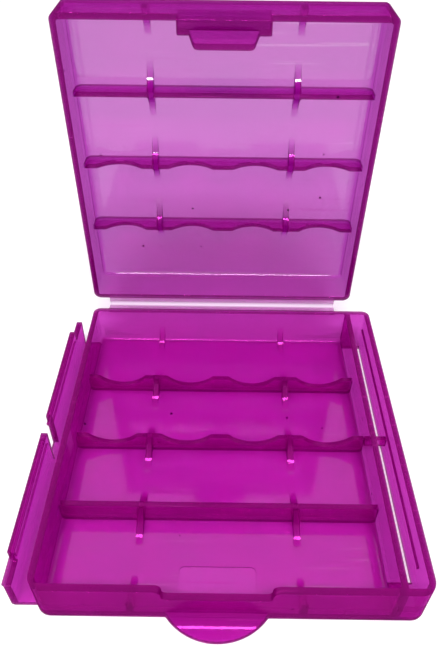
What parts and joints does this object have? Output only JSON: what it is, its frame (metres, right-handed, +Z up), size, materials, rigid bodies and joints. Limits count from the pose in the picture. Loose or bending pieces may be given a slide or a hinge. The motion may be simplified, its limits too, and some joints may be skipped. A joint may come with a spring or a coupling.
{
  "type": "battery storage case",
  "caption": "Hinged clamshell case that holds cylindrical battery cells side by side in scalloped ribs, with a latch tongue, a finger lip, and hooks and a channel that join cases side by side.",
  "frame": {"origin": "centre of the tray's underside, where the case rests", "axes": "+Z up, +Y from the latch to the hinge, +X to the right seen from the latch side"},
  "size_m": [0.0769, 0.0876, 0.0845],
  "materials": {
    "tinted_polypropylene": "translucent, moulded, semi-gloss"
  },
  "bodies": {
    "base": {"base_tray": "tinted_polypropylene", "channel_rail": "tinted_polypropylene", "channel_tie": "tinted_polypropylene", "rear_hook": "tinted_polypropylene", "front_hook": "tinted_polypropylene", "finger_lip": "tinted_polypropylene", "base_hinge_leaf": "tinted_polypropylene", "base_hinge_wall_gussets": "tinted_polypropylene", "base_front_wall_gussets": "tinted_polypropylene", "base_rib_rear": "tinted_polypropylene", "base_rib_middle": "tinted_polypropylene", "base_rib_front": "tinted_polypropylene", "base_rear_rib_gussets": "tinted_polypropylene", "base_middle_rib_gussets": "tinted_polypropylene", "base_front_rib_gussets": "tinted_polypropylene"},
    "lid": {"lid_shell": "tinted_polypropylene", "latch_tongue": "tinted_polypropylene", "lid_hinge_leaf": "tinted_polypropylene", "lid_front_wall_gussets": "tinted_polypropylene", "lid_rib_rear": "tinted_polypropylene", "lid_rib_middle": "tinted_polypropylene", "lid_rib_front": "tinted_polypropylene", "lid_rear_rib_gussets": "tinted_polypropylene", "lid_middle_rib_gussets": "tinted_polypropylene", "lid_front_rib_gussets": "tinted_polypropylene"}
  },
  "joints": [
    {"name": "lid_hinge", "type": "hinge", "parent": "base", "child": "lid", "pos_m": [0, 0.03755, 0.01115], "axis": [-1, 0, 0], "range_deg": [-90, 90]}
  ]
}
